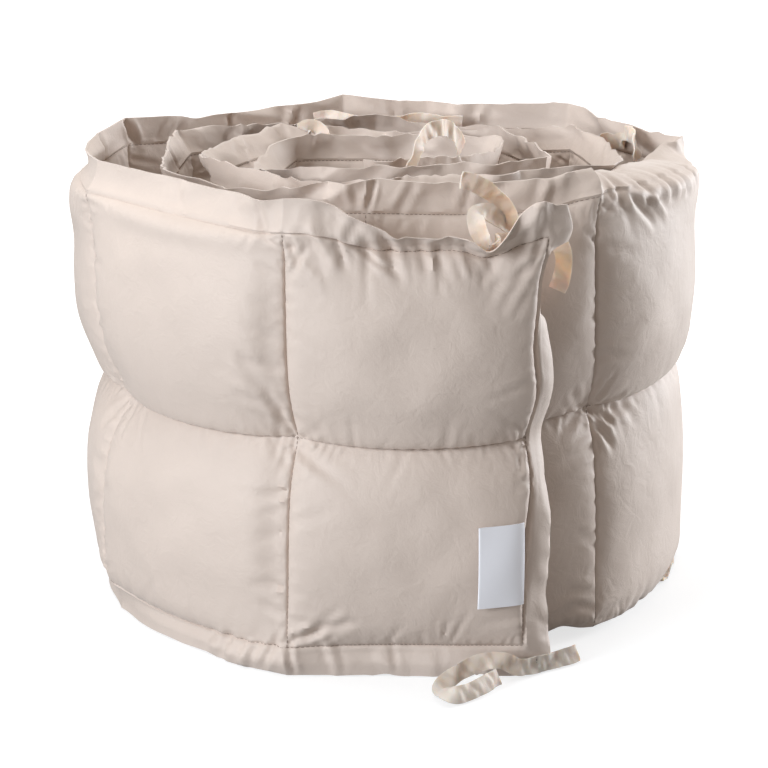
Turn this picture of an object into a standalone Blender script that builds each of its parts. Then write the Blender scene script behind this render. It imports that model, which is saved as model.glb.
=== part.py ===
"""Crib bumper, rolled up and standing on its lower edge.

The bumper is one long quilted strip: two rows of square filled pockets with a
flat stitched hem all round. It is wound clockwise, seen from above, from its
free end at the front to its inner end near the centre. Cotton tapes are
stitched to the hem, and a bare label is caught in the pocket seam beside the
free end.

The strip is described in its own flat coordinates and then wound:
  along   distance from the first pocket seam, counted in pockets
  height  distance up the strip from its lower edge, in metres
Metres, +Z up. The origin is on the floor, under the middle of the roll.
"""

import math

import bmesh
import bpy
import numpy as np
from mathutils import Vector

MM = 0.001

# The strip.
HEIGHT = 0.300
HEM = 0.020
POCKET = 0.160
POCKETS = 22
CLOTH = 0.003
WAIST = HEIGHT / 2
LOWER_STITCH = HEM
UPPER_STITCH = HEIGHT - HEM
END_HEM = HEM / POCKET

# The filled pockets: how far their faces stand off the pocket's middle sheet, how far
# that sheet sinks between the seams, and how the waist stitching draws it in. The
# pinch is strongest at the crossings with the seams.
PUFF_OUT = {"lower": 0.0170, "upper": 0.0210}
PUFF_IN = 0.0135
INNER_SHARE = 0.86
MIDDLE_SINK = {"lower": 0.0145, "upper": 0.0125}
FULLNESS = 0.60
WAIST_PINCH = 0.018
WAIST_REACH = 0.022
WAIST_PINCH_EASE = 0.85
FULLEST = PUFF_OUT["upper"] + PUFF_IN + CLOTH

# The winding. Each seam of the outer turn stands at its own bearing, in degrees
# anticlockwise from +X seen from above, and its own radius. Further in, the turns
# are a spiral.
SEAM_COLUMNS = ("seam", "bearing", "radius_mm", "lift_mm", "lean_mm")
OUTER_SEAMS = (
    (-1, -31.0, 224.0, 0.0, 2.0),
    (0, -69.5, 220.0, 0.0, 4.0),
    (1, -109.0, 215.0, 1.0, 2.0),
    (2, -157.5, 209.0, 4.0, 1.0),
    (3, -205.0, 208.0, 2.0, 2.0),
    (4, -258.0, 192.0, 1.0, 2.0),
    (5, -305.0, 195.0, 1.0, 2.0),
    (6, -352.5, 191.0, 0.0, 3.0),
    (7, -404.0, 184.0, 0.0, 3.0),
    (8, -457.0, 173.0, 5.0, -3.0),
)
INNER_PITCH = 0.0360
CENTRE_SHIFT = (0.0101, 0.0318)

# The hems between two seams: how far the upper stitching sags, how far the upper
# edge leans out and how far the lower edge stands out, at the pocket's middle.
HEM_COLUMNS = ("pocket", "sag_mm", "lean_mm", "foot_mm")
OUTER_HEMS = (
    (-1, 0.0, 0.0, 0.0),
    (0, 9.0, 8.0, 5.0),
    (1, 4.0, 6.0, 6.0),
    (2, 3.0, 0.0, 5.0),
    (3, 5.0, -2.0, 3.0),
    (4, 6.0, -2.0, 3.0),
    (5, 4.0, 1.0, 2.0),
    (6, 5.0, 5.0, -9.0),
    (7, 1.0, -6.0, -10.0),
)
# The same measures further in, where the hems hardly show.
SWING_COLUMNS = ("measure", "mean_mm", "swing_mm", "rate", "start")
INNER_SWINGS = (
    ("sag", 4.0, 3.0, 2.4, 0.0),
    ("lean", 0.0, 6.0, 1.7, 0.6),
    ("foot", 0.0, 3.0, 2.9, 0.0),
    ("corner_lean", 0.0, 3.5, 2.1, 0.0),
)
# Single folds in the upper hem: where it droops outwards, how wide, and how far
# the stitching sags and the edge leans there.
FOLD_COLUMNS = ("along", "reach", "sag_mm", "lean_mm")
UPPER_FOLDS = (
    (0.16, 0.075, 8.0, 9.0),
    (0.62, 0.090, 1.0, 9.0),
    (1.10, 0.070, 2.0, 8.0),
    (3.33, 0.060, 3.0, 3.0),
)
# Small ripples all along the upper hem, dying out at the seams, and its greatest lean.
RIPPLE = 0.0018
RIPPLE_RATE = 14.5
RIPPLE_RISE = 2.2
MOST_LEAN = 0.9 * HEM
HEM_ROLL = 1.3
# The end hems curl inwards, and the inner turns stand a little higher at the front.
END_CURL = 0.006
TURN_LIFT = 0.005

# Mesh density of the strip, as places along a pocket and up a pocket.
OUTER_STEPS = (0.0, 0.05, 0.16, 0.33, 0.5, 0.67, 0.84, 0.95)
INNER_STEPS = (0.0, 0.1, 0.35, 0.65, 0.9)
RISE_STEPS = (0.05, 0.16, 0.36, 0.64, 0.84, 0.95)
FINE_POCKETS = 8
FOOT = 0.008

# Cotton tapes. Each is one length of tape stitched to the hem at its middle, with
# two free tails. A tail starts at the stitching and passes through the points of
# its table: millimetres along the strip, out of the roll and up, and the turn of
# the tape about its own length, in degrees.
TAPE_WIDTH = 0.010
TAPE_THICK = 0.0012
TAPE_SEAT = 0.0025
TAPE_STEP = 0.006
CLEAR = 0.0006
TAIL_COLUMNS = ("along_mm", "out_mm", "up_mm", "turn")
TIE_COLUMNS = ("name", "along", "height", "side", "stand_mm", "tails")
TIES = (
    ("tie_top_0", 0.16, UPPER_STITCH + 0.004, -1, 2.2, (
        ((7, -6, 5, -20), (6, -11, 14, -40), (5, -14, 24, -50), (10, -16, 33, -60), (18, -18, 38, -60),
         (25, -16, 36, -50), (24, -10, 28, -30), (18, -7, 20, 0), (20, -7, 14, 0)),
        ((-8, -7, 2, 0), (-20, -13, 4, 10), (-35, -16, 5, 20), (-48, -15, 0, 20), (-53, -13, -12, 10),
         (-53, -12, -24, 0), (-51, -12, -36, 0)),
    )),
    ("tie_top_1", 5.5, UPPER_STITCH + 0.008, -1, 0.0, (
        ((9, -3, 1, 0), (20, -8, 4, 20), (32, -13, 3, 50), (44, -16, 2, 60), (56, -15, 4, 40), (66, -13, 2, 20)),
        ((-9, -3, 1, 0), (-20, -9, 5, -20), (-31, -14, 8, -40), (-42, -15, 4, -40), (-50, -12, 2, -20)),
    )),
    ("tie_top_2", 11.0, UPPER_STITCH + 0.009, 1, 0.0, (
        ((9, 3, 1, 0), (20, 6, 2, 0), (34, 8, 3, 0), (48, 8, 2, 0), (60, 10, 1, 0)),
        ((-9, 3, 1, 0), (-20, 7, 3, 20), (-30, 12, 5, 40), (-40, 14, 3, 40)),
    )),
    ("tie_top_3", 16.1, UPPER_STITCH + 0.007, 1, 1.3, (
        ((8, 5, 5, 0), (13, 7, 14, 0), (18, 0, 21, 0), (24, -11, 19, 0), (28, -17, 8, 0),
         (30, -19, -3, 0)),
        ((-8, 5, 4, 0), (-14, 8, 13, 0), (-20, 1, 20, 0), (-26, -11, 18, 0), (-31, -17, 7, 0),
         (-33, -19, -4, 0)),
    )),
    ("tie_top_4", 21.9, UPPER_STITCH + 0.006, 1, 0.3, (
        ((7, 4, 6, 0), (10, 6, 17, 0), (4, -4, 28, 0), (-9, -19, 30, 0), (-22, -33, 24, 0), (-32, -41, 12, 0),
         (-38, -45, -2, 0)),
        ((-9, 4, 2, 0), (-20, 8, 4, 20), (-32, 12, 3, 40), (-42, 14, 2, 40)),
    )),
    ("tie_bottom_0", 0.0, 0.010, 1, 0.0, (
        ((8, 2, 1, 0), (22, 6, 7, 0), (38, 10, 8, 0), (50, 17, 2, 0), (60, 27, -2, 0), (66, 36, -3, 0),
         (63, 43, -3, 0), (54, 42, -3, 0), (42, 33, -3, 0), (32, 25, -4, 0), (22, 19, -4, 0)),
        ((-9, 2, -1, 0), (-22, 2, -2, 0), (-34, -4, -3, 40), (-44, -12, -6, 80), (-54, -20, -8, 90),
         (-62, -26, -8, 90)),
    )),
    ("tie_bottom_1", 5.5, 0.010, 1, 0.0, (
        ((9, 4, -1, 0), (20, 9, -2, 10), (32, 14, -4, 40), (44, 15, -7, 80), (56, 14, -8, 90)),
        ((-9, 4, -1, 0), (-22, 12, -3, -30), (-33, 23, -6, -70), (-44, 32, -8, -90), (-58, 36, -8, -90),
         (-72, 34, -8, -90)),
    )),
    ("tie_bottom_2", 11.0, 0.010, 1, 0.0, (
        ((9, 3, 0, 0), (20, 7, -2, 0), (32, 10, -2, 0), (46, 12, -2, 0)),
        ((-9, 3, 0, 0), (-20, 7, -2, 0), (-32, 10, -2, 0), (-46, 12, -2, 0)),
    )),
    ("tie_bottom_3", 16.1, 0.010, 1, 0.0, (
        ((9, 3, 0, 0), (20, 7, -2, 0), (32, 11, -2, 0), (44, 14, -2, 0)),
        ((-9, 3, 0, 0), (-20, 7, -2, 0), (-32, 11, -2, 0), (-44, 14, -2, 0)),
    )),
    ("tie_bottom_4", 21.9, 0.010, 1, 0.0, (
        ((9, 5, 0, 0), (20, 9, -2, 0), (34, 9, -2, 0), (46, 0, -2, 0), (52, -14, -2, 0)),
        ((-9, 4, 0, 0), (-20, 8, -2, 0), (-32, 12, -2, 0), (-42, 14, -2, 0)),
    )),
)

# The label: a folded tab, caught in the first seam and lying on the lower pocket.
LABEL_WIDTH = 0.031
LABEL_HEIGHT = 0.053
LABEL_FOOT = 0.044
LABEL_THICK = 0.0010
LABEL_SEAT = 0.0025
LABEL_STAND = 0.0016


def rows(columns, table):
    """A table as a list of dictionaries, one for each row."""
    return [dict(zip(columns, row)) for row in table]


def swing(measure, count):
    """A measure of the inner turns' hems, which goes to and fro about its mean from pocket to pocket."""
    row = next(row for row in rows(SWING_COLUMNS, INNER_SWINGS) if row["measure"] == measure)
    return (row["mean_mm"] + row["swing_mm"] * math.sin(row["rate"] * count + row["start"])) * MM


def spiral_seams():
    """Bearing in radians, radius, lift and corner lean of every seam, from -1 to POCKETS + 1."""
    seams = []
    for row in rows(SEAM_COLUMNS, OUTER_SEAMS):
        bearing, radius = math.radians(row["bearing"]), row["radius_mm"] * MM
        seams.append((bearing, radius, row["lift_mm"] * MM, row["lean_mm"] * MM))
    first, last = OUTER_SEAMS[0][0], OUTER_SEAMS[-1][0]
    bearing, radius = seams[-1][:2]
    for seam in range(last + 1, POCKETS + 2):
        length = (seam - last) * POCKET
        inner = math.sqrt(radius ** 2 - INNER_PITCH * length / math.pi)
        swept = (radius - inner) * 2 * math.pi / INNER_PITCH
        seams.append((bearing - swept, inner, 0.0, swing("corner_lean", seam)))
    assert len(seams) == POCKETS + 2 - first
    return np.array(seams)


def hem_moves():
    """Sag, lean and foot of every pocket's hems, from pocket -1 to POCKETS."""
    moves = []
    for row in rows(HEM_COLUMNS, OUTER_HEMS):
        moves.append((row["sag_mm"] * MM, row["lean_mm"] * MM, row["foot_mm"] * MM))
    for pocket in range(OUTER_HEMS[-1][0] + 1, POCKETS + 1):
        moves.append((swing("sag", pocket), swing("lean", pocket), swing("foot", pocket)))
    return np.array(moves)


SEAMS = spiral_seams()
HEMS = hem_moves()
FOLDS = rows(FOLD_COLUMNS, UPPER_FOLDS)


def between_seams(along):
    """Bearing, radius, lift and corner lean along the strip, on a smooth curve through the seams."""
    k = min(max(math.floor(along), 0), POCKETS - 1)
    p = along - k
    i = k + 1
    a, b = SEAMS[i], SEAMS[i + 1]
    before = SEAMS[max(i - 1, 0)]
    after = SEAMS[min(i + 2, len(SEAMS) - 1)]
    slope_a, slope_b = (b - before) / 2, (after - a) / 2
    h = (2 * p ** 3 - 3 * p ** 2 + 1, p ** 3 - 2 * p ** 2 + p, -2 * p ** 3 + 3 * p ** 2, p ** 3 - p ** 2)
    return h[0] * a + h[1] * slope_a + h[2] * b + h[3] * slope_b


def path(along):
    """The point of the winding that a place along the strip stands over."""
    bearing, radius = between_seams(along)[:2]
    x, y = radius * math.cos(bearing), radius * math.sin(bearing)
    return np.array((CENTRE_SHIFT[0] + x, CENTRE_SHIFT[1] + y, 0.0))


def path_frame(along):
    """The winding's point, its direction towards the inner end, and the way out of the roll."""
    step = 0.01
    forward = path(along + step) - path(along - step)
    forward /= np.linalg.norm(forward)
    outward = np.array((-forward[1], forward[0], 0.0))
    return path(along), forward, outward


def mound(x):
    """A full, steep-sided crown: 0 at both ends of 0 to 1, and 1 in the middle."""
    return max(0.0, 4 * x * (1 - x)) ** FULLNESS


def bow(x):
    """A plain parabola: 0 at both ends of 0 to 1, and 1 in the middle."""
    return max(0.0, 4 * x * (1 - x))


def pocket_place(along, height):
    """The fraction along the pocket, the row it is in, and the fraction up that row."""
    p = along - min(max(math.floor(along), 0), POCKETS - 1)
    if height < WAIST:
        return p, "lower", (height - LOWER_STITCH) / (WAIST - LOWER_STITCH)
    return p, "upper", (height - WAIST) / (UPPER_STITCH - WAIST)


def inner_turns(along):
    """0 on the outer turn and 1 on the turns inside it, with a smooth change between."""
    return min(max(along - FINE_POCKETS + 1.0, 0.0), 1.0)


def faces_off(along, height):
    """How far the outer and the inner face stand from the winding, outwards positive."""
    p, row, q = pocket_place(along, height)
    middle = -MIDDLE_SINK[row] * bow(p)
    pinch = WAIST_PINCH / (1 + ((height - WAIST) / WAIST_REACH) ** 2)
    middle -= pinch * (1 - WAIST_PINCH_EASE * bow(p))
    crown = mound(p) * mound(q) * (1 - (1 - INNER_SHARE) * inner_turns(along))
    return middle + CLOTH / 2 + PUFF_OUT[row] * crown, middle - CLOTH / 2 - PUFF_IN * crown


def upper_hem(along):
    """Sag of the upper stitching and lean of the upper edge at a place along the strip."""
    pocket = min(max(math.floor(along), -1), POCKETS)
    p = along - pocket
    sag, lean, _ = HEMS[pocket + 1]
    corner_lean = between_seams(along)[3]
    sag *= bow(p)
    lean = corner_lean * (1 - bow(p)) + lean * bow(p)
    for fold in FOLDS:
        share = math.exp(-((along - fold["along"]) / fold["reach"]) ** 2)
        sag += fold["sag_mm"] * MM * share
        lean += fold["lean_mm"] * MM * share
    lean += RIPPLE * math.sin(RIPPLE_RATE * along) * min(1.0, RIPPLE_RISE * bow(p))
    return sag, min(lean, MOST_LEAN)


def hem_shift(along, height):
    """How far a place moves out and up because of the hems' leaning, sagging and rippling."""
    sag, lean = upper_hem(along)
    bearing, _, lift, _ = between_seams(along)
    turn_lift = -TURN_LIFT * math.sin(bearing) * inner_turns(along)
    up = (lift + turn_lift - sag) * max(0.0, (height - WAIST) / WAIST)
    above = max(0.0, (height - UPPER_STITCH) / HEM)
    up -= (HEM - math.sqrt(HEM ** 2 - lean ** 2)) * above
    out = lean * above ** HEM_ROLL
    pocket = min(max(math.floor(along), -1), POCKETS)
    below = max(0.0, (LOWER_STITCH - max(height, FOOT)) / (LOWER_STITCH - FOOT))
    out += HEMS[pocket + 1][2] * bow(along - pocket) * below
    past_end = max(0.0, -along, along - POCKETS) / END_HEM
    return out - END_CURL * past_end ** 2, up


def wound(along, height, side):
    """A place of the strip in the roll: side is 1 on the outer face, -1 on the inner and 0 between."""
    point, _, outward = path_frame(along)
    outer, inner = faces_off(along, height)
    off = {1: outer, -1: inner, 0: (outer + inner) / 2}[side]
    out, up = hem_shift(along, height)
    return point + outward * (off + out) + np.array((0.0, 0.0, height + up))


def surface_frame(along, height, side):
    """A place on a face of the strip, with the ways along the strip, up the strip and off that face."""
    step_along, step_up = 0.02, 0.002
    here = wound(along, height, side)
    forward = wound(along + step_along, height, side) - wound(along - step_along, height, side)
    forward /= np.linalg.norm(forward)
    rise = wound(along, height + step_up, side) - wound(along, height - step_up, side)
    rise -= forward * rise.dot(forward)
    rise /= np.linalg.norm(rise)
    off = np.cross(rise, forward) * side
    return here, forward, rise, off


def material(name, colour, roughness):
    """A plain cloth material."""
    new = bpy.data.materials.new(name)
    new.use_nodes = True
    shader = new.node_tree.nodes["Principled BSDF"]
    shader.inputs["Base Color"].default_value = (*colour, 1.0)
    shader.inputs["Roughness"].default_value = roughness
    shader.inputs["Metallic"].default_value = 0.0
    return new


def sheet_object(name, grid, thickness, shares, finish, collection):
    """A grid of points as a closed sheet, by Solidify, with a share of the thickness at each point."""
    columns, lines = grid.shape[:2]
    bm = bmesh.new()
    bmesh.ops.create_grid(bm, x_segments=columns - 1, y_segments=lines - 1, size=1.0)
    ordered = sorted(bm.verts, key=lambda v: (round(v.co.x, 5), round(v.co.y, 5)))
    for vertex, place in zip(ordered, grid.reshape(-1, 3)):
        vertex.co = Vector(place)
    bm.verts.index_update()
    order = [v.index for v in ordered]
    mesh = bpy.data.meshes.new(name)
    bm.to_mesh(mesh)
    bm.free()
    mesh.shade_smooth()
    obj = bpy.data.objects.new(name, mesh)
    collection.objects.link(obj)
    group = obj.vertex_groups.new(name="thickness")
    for index, share in zip(order, shares.reshape(-1)):
        group.add([index], float(share), "REPLACE")
    solid = obj.modifiers.new("thickness", "SOLIDIFY")
    solid.thickness = thickness
    solid.offset = 0.0
    solid.use_rim = True
    solid.vertex_group = group.name
    mesh.materials.append(finish)
    return obj


def strip_columns():
    """The places along the strip where the mesh has a line of points."""
    places = [-END_HEM, -END_HEM / 2]
    for pocket in range(POCKETS):
        steps = OUTER_STEPS if pocket < FINE_POCKETS else INNER_STEPS
        places += [pocket + step for step in steps]
    return places + [POCKETS, POCKETS + END_HEM / 2, POCKETS + END_HEM]


def strip_heights():
    """The heights of the strip where the mesh has a line of points."""
    heights = [0.0, FOOT, LOWER_STITCH]
    row = WAIST - LOWER_STITCH
    heights += [LOWER_STITCH + row * step for step in RISE_STEPS] + [WAIST]
    heights += [WAIST + row * step for step in RISE_STEPS]
    return heights + [UPPER_STITCH, UPPER_STITCH + HEM * 0.55, HEIGHT]


def quilted_roll(collection):
    """The wound strip: one filled solid with its crowns, sewn channels and flat hems."""
    places, heights = strip_columns(), strip_heights()
    grid = np.array([[wound(along, height, 0) for height in heights] for along in places])
    shares = np.zeros(grid.shape[:2])
    for i, along in enumerate(places):
        for j, height in enumerate(heights):
            outer, inner = faces_off(along, height)
            in_hem = not (0 <= along <= POCKETS and LOWER_STITCH <= height <= UPPER_STITCH)
            shares[i, j] = (CLOTH if in_hem else outer - inner) / FULLEST
    cover = material("cotton cover", (0.72, 0.64, 0.56), 0.85)
    return sheet_object("quilted_roll", grid, FULLEST, shares, cover, collection)


def smooth_line(points, spacing):
    """A smooth curve through the points, as places about one spacing apart."""
    points = [np.array(p, float) for p in points]
    ends = [2 * points[0] - points[1]] + points + [2 * points[-1] - points[-2]]
    line = []
    for a, b, c, d in zip(ends, ends[1:], ends[2:], ends[3:]):
        pieces = max(1, round(np.linalg.norm((c - b)[:3]) / spacing))
        for i in range(pieces):
            t = i / pieces
            line.append(0.5 * (2 * b + (c - a) * t + (2 * a - 5 * b + 4 * c - d) * t ** 2
                               + (3 * b - a - 3 * c + d) * t ** 3))
    return np.array(line + [points[-1]])


def turned(vector, axis, angle):
    """A vector turned about a unit axis by an angle in radians."""
    return (vector * math.cos(angle) + np.cross(axis, vector) * math.sin(angle)
            + axis * axis.dot(vector) * (1 - math.cos(angle)))


def tail_edges(line, across):
    """Both edges of a tape along a line of places and turns. The tape starts with its width along across."""
    places, turns = line[:, :3], np.radians(line[:, 3])
    edges = []
    for i, place in enumerate(places):
        ahead = places[min(i + 1, len(places) - 1)] - places[max(i - 1, 0)]
        ahead /= np.linalg.norm(ahead)
        across = across - ahead * across.dot(ahead)
        across /= np.linalg.norm(across)
        width = turned(across, ahead, turns[i]) * TAPE_WIDTH / 2
        edges.append((place - width, place + width))
    return edges


def beside_turn(seat, row, place):
    """A tail's point: so far along the turn that the tie is sewn to, and so far out and up from the seat."""
    point, _, outward = path_frame(row["along"])
    off = outward.dot(seat - point)
    point, _, outward = path_frame(row["along"] + place["along_mm"] * MM / POCKET)
    x, y, _ = point + outward * (off + place["out_mm"] * MM)
    return x, y, seat[2] + place["up_mm"] * MM, place["turn"]


def tie(row, finish, collection):
    """One tape: a flat seat on the hem and a tail each way, all one sheet."""
    seat, forward, rise, off = surface_frame(row["along"], row["height"], row["side"])
    seat = seat + off * (CLEAR + row["stand_mm"] * MM + TAPE_THICK / 2)
    halves = []
    for way, tail in zip((1, -1), row["tails"]):
        points = [(*(seat + forward * way * TAPE_SEAT * i), 0.0) for i in (0, 1)]
        points += [beside_turn(seat, row, place) for place in rows(TAIL_COLUMNS, tail)]
        halves.append(tail_edges(smooth_line(points, TAPE_STEP), rise))
    edges = np.array(halves[1][:0:-1] + halves[0])
    return sheet_object(row["name"], edges, TAPE_THICK, np.ones(edges.shape[:2]), finish, collection)


def label(collection):
    """The bare label: a thin tab that follows the lower pocket beside the free end."""
    finish = material("white tape", (0.90, 0.90, 0.90), 0.8)
    grid = []
    for share in (0.0, 0.25, 0.5, 0.75, 1.0):
        place = LABEL_SEAT + (LABEL_WIDTH - LABEL_SEAT) * share
        line = []
        for rise in (0.0, 0.35, 0.7, 1.0):
            here, _, _, off = surface_frame(place / POCKET, LABEL_FOOT + LABEL_HEIGHT * rise, 1)
            line.append(here + off * (LABEL_THICK / 2 + LABEL_STAND * share))
        grid.append(line)
    grid = np.array(grid)
    sheet_object("label", grid, LABEL_THICK, np.ones(grid.shape[:2]), finish, collection)


def main():
    for obj in list(bpy.data.objects):
        bpy.data.objects.remove(obj, do_unlink=True)
    parts = bpy.data.collections.new("crib bumper")
    bpy.context.scene.collection.children.link(parts)
    quilted_roll(parts)
    cotton = material("cotton tape", (0.76, 0.68, 0.59), 0.8)
    for row in rows(TIE_COLUMNS, TIES):
        tie(row, cotton, parts)
    label(parts)


main()
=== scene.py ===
"""Crib bumper, rolled up and standing on its lower edge: the looks.

The quilted strip is described in its own flat coordinates, as in the CAD model, and
then wound. Everything sewn to it is placed in the same coordinates:
  along   distance from the first pocket seam, counted in pockets
  height  distance up the strip from its lower edge, in metres
Metres, +Z up.
"""

import math

import bpy
import numpy as np
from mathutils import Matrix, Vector


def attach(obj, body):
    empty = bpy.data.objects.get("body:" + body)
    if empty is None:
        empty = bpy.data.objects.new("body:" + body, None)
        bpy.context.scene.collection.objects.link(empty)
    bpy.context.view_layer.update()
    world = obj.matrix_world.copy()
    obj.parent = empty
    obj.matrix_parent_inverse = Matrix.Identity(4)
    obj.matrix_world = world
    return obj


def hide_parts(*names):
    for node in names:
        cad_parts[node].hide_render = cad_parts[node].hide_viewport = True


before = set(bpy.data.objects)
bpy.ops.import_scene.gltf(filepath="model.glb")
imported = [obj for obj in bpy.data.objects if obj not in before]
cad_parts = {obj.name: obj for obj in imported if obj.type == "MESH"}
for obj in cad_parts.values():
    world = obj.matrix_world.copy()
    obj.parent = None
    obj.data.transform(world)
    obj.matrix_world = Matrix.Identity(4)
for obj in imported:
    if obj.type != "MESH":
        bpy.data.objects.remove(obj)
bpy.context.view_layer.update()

MM = 0.001

# ---- the strip, as in the CAD model

HEIGHT = 0.300
HEM = 0.020
POCKET = 0.160
POCKETS = 22
CLOTH = 0.0022
WAIST = HEIGHT / 2
LOWER_STITCH = HEM
UPPER_STITCH = HEIGHT - HEM
END_HEM = HEM / POCKET

PUFF_OUT = {"lower": 0.0170, "upper": 0.0210}
PUFF_IN = 0.0135
INNER_SHARE = 0.86
MIDDLE_SINK = {"lower": 0.0145, "upper": 0.0125}
FULLNESS = 0.60
ACROSS_FULLNESS = 0.47
WAIST_PINCH = 0.018
WAIST_REACH = 0.022
WAIST_PINCH_EASE = 0.85
FINE_POCKETS = 8
ROWS = {"lower": (LOWER_STITCH, WAIST), "upper": (WAIST, UPPER_STITCH)}

# Each row: seam, bearing in degrees, and in millimetres its radius, lift and lean.
OUTER_SEAMS = (
    (-1, -31, 224, 0, 2),
    (0, -69.5, 220, 0, 4),
    (1, -109, 215, 1, 2),
    (2, -157.5, 209, 4, 1),
    (3, -205, 208, 2, 2),
    (4, -258, 192, 1, 2),
    (5, -308.5, 195, 1, 2),
    (6, -352.5, 191, 0, -9),
    (7, -407, 184, 0, 3),
    (8, -457, 173, 5, -3),
)
INNER_PITCH = 0.0360
CENTRE_SHIFT = (0.0101, 0.0318)

# Each row: pocket, and in millimetres its upper hem's sag and lean and its lower hem's way out.
OUTER_HEMS = (
    (-1, 0, 0, 0),
    (0, 9, 8, 5),
    (1, -1, -3, 6),
    (2, 3, 9, 5),
    (3, 5, -2, 3),
    (4, 4, -2, 3),
    (5, 4, 1, 2),
    (6, -5, -24, -9),
    (7, 1, -6, -10),
)
# For each measure of the inner turns: its mean and its swing in millimetres, the swing's rate and its start.
INNER_SWINGS = {
    "sag": (4, 3, 2.4, 0),
    "lean": (0, 9, 1.7, 0.6),
    "foot": (0, 3, 2.9, 0),
    "corner_lean": (0, 6, 2.1, 0),
}
# Each row: place along the strip, reach along it, and in millimetres the sag and the lean.
UPPER_FOLDS = (
    (0.18, 0.075, 8, 7),
    (0.58, 0.085, 0, 3),
    (0.86, 0.15, -10, 1),
    (1.1, 0.07, 0, 3),
    (3.33, 0.06, 3, 3),
    (0.38, 0.22, 0, 8),
    (6.99, 0.15, -6, -15),
    (5.9, 0.1, 2, 8),
)
SIDE_LEAN = 0.006
END_CURL = 0.006
TURN_LIFT = 0.005
FOOT = 0.008
LEAN_LIMIT = 0.98
LEAN_CURVE = 0.3


def hill(x, place, reach):
    """1 at a place, with a smooth fall to nearly 0 at twice the reach from it."""
    return np.exp(-((x - place) / reach) ** 2)


def ramp(x):
    """0 below 0 and 1 above 1, with a smooth rise between them."""
    share = np.clip(x, 0, 1)
    return share * share * (3 - 2 * share)


def unit(vectors):
    """Vectors with their length made 1."""
    return vectors / np.linalg.norm(vectors, axis=-1, keepdims=True)


def pocket_of(along, first=0, last=POCKETS - 1):
    """The number of the pocket that each place along the strip is in."""
    return np.clip(np.floor(along), first, last).astype(int)


def swing(measure, count):
    """A measure of the inner turns' hems, which goes to and fro about its mean from pocket to pocket."""
    mean, wide, rate, start = INNER_SWINGS[measure]
    return (mean + wide * math.sin(rate * count + start)) * MM


def spiral_seams():
    """Bearing in radians, radius, lift and corner lean of every seam, from -1 to POCKETS + 1."""
    seams = []
    for _, bearing, radius, lift, lean in OUTER_SEAMS:
        seams.append((math.radians(bearing), radius * MM, lift * MM, lean * MM))
    last = OUTER_SEAMS[-1][0]
    bearing, radius = seams[-1][:2]
    for seam in range(last + 1, POCKETS + 2):
        length = (seam - last) * POCKET
        inner = math.sqrt(radius ** 2 - INNER_PITCH * length / math.pi)
        swept = (radius - inner) * 2 * math.pi / INNER_PITCH
        seams.append((bearing - swept, inner, 0.0, swing("corner_lean", seam)))
    return np.array(seams)


def hem_moves():
    """Sag, lean and foot of every pocket's hems, from pocket -1 to POCKETS."""
    moves = [(sag * MM, lean * MM, foot * MM) for _, sag, lean, foot in OUTER_HEMS]
    for pocket in range(OUTER_HEMS[-1][0] + 1, POCKETS + 1):
        moves.append((swing("sag", pocket), swing("lean", pocket), swing("foot", pocket)))
    return np.array(moves)


SEAMS = spiral_seams()
HEMS = hem_moves()


def between_seams(along):
    """Bearing, radius, lift and corner lean along the strip, on a smooth curve through the seams."""
    k = pocket_of(along)
    p = (along - k)[:, None]
    a, b = SEAMS[k + 1], SEAMS[k + 2]
    before = SEAMS[k]
    after = SEAMS[np.minimum(k + 3, len(SEAMS) - 1)]
    slope_a, slope_b = (b - before) / 2, (after - a) / 2
    start, end = 2 * p ** 3 - 3 * p ** 2 + 1, -2 * p ** 3 + 3 * p ** 2
    return start * a + (p ** 3 - 2 * p ** 2 + p) * slope_a + end * b + (p ** 3 - p ** 2) * slope_b


def path(along):
    """The points of the winding that places along the strip stand over."""
    bearing, radius = between_seams(along)[:, :2].T
    x, y = radius * np.cos(bearing), radius * np.sin(bearing)
    return np.stack((CENTRE_SHIFT[0] + x, CENTRE_SHIFT[1] + y, np.zeros(len(along))), axis=1)


def path_frame(along):
    """The winding's points, its directions towards the inner end, and the ways out of the roll."""
    step = 0.01
    forward = unit(path(along + step) - path(along - step))
    outward = np.stack((-forward[:, 1], forward[:, 0], np.zeros(len(along))), axis=1)
    return path(along), forward, outward


def bow(x):
    """A plain parabola: 0 at both ends of 0 to 1, and 1 in the middle."""
    return np.maximum(0, 4 * x * (1 - x))


def mound(x):
    """A full, steep-sided crown: 0 at both ends of 0 to 1, and 1 in the middle."""
    return bow(x) ** FULLNESS


def inner_turns(along):
    """0 on the outer turn and 1 on the turns inside it, with a steady change over one pocket between."""
    return np.clip(along - FINE_POCKETS + 1, 0, 1)


def faces_off(along, height):
    """How far the outer and the inner face stand from the winding, outwards positive."""
    p = (along - pocket_of(along))[:, None]
    upper = height >= WAIST
    q = np.where(upper, (height - WAIST) / (UPPER_STITCH - WAIST),
                 (height - LOWER_STITCH) / (WAIST - LOWER_STITCH))[None, :]
    puff = np.where(upper, PUFF_OUT["upper"], PUFF_OUT["lower"])[None, :]
    sink = np.where(upper, MIDDLE_SINK["upper"], MIDDLE_SINK["lower"])[None, :]
    pinch = (WAIST_PINCH / (1 + ((height - WAIST) / WAIST_REACH) ** 2))[None, :]
    middle = -sink * bow(p) - pinch * (1 - WAIST_PINCH_EASE * bow(p))
    thinner = 1 - (1 - INNER_SHARE) * inner_turns(along)[:, None]
    crown = bow(p) ** ACROSS_FULLNESS * mound(q) * thinner
    return middle + CLOTH / 2 + puff * crown, middle - CLOTH / 2 - PUFF_IN * crown


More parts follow.
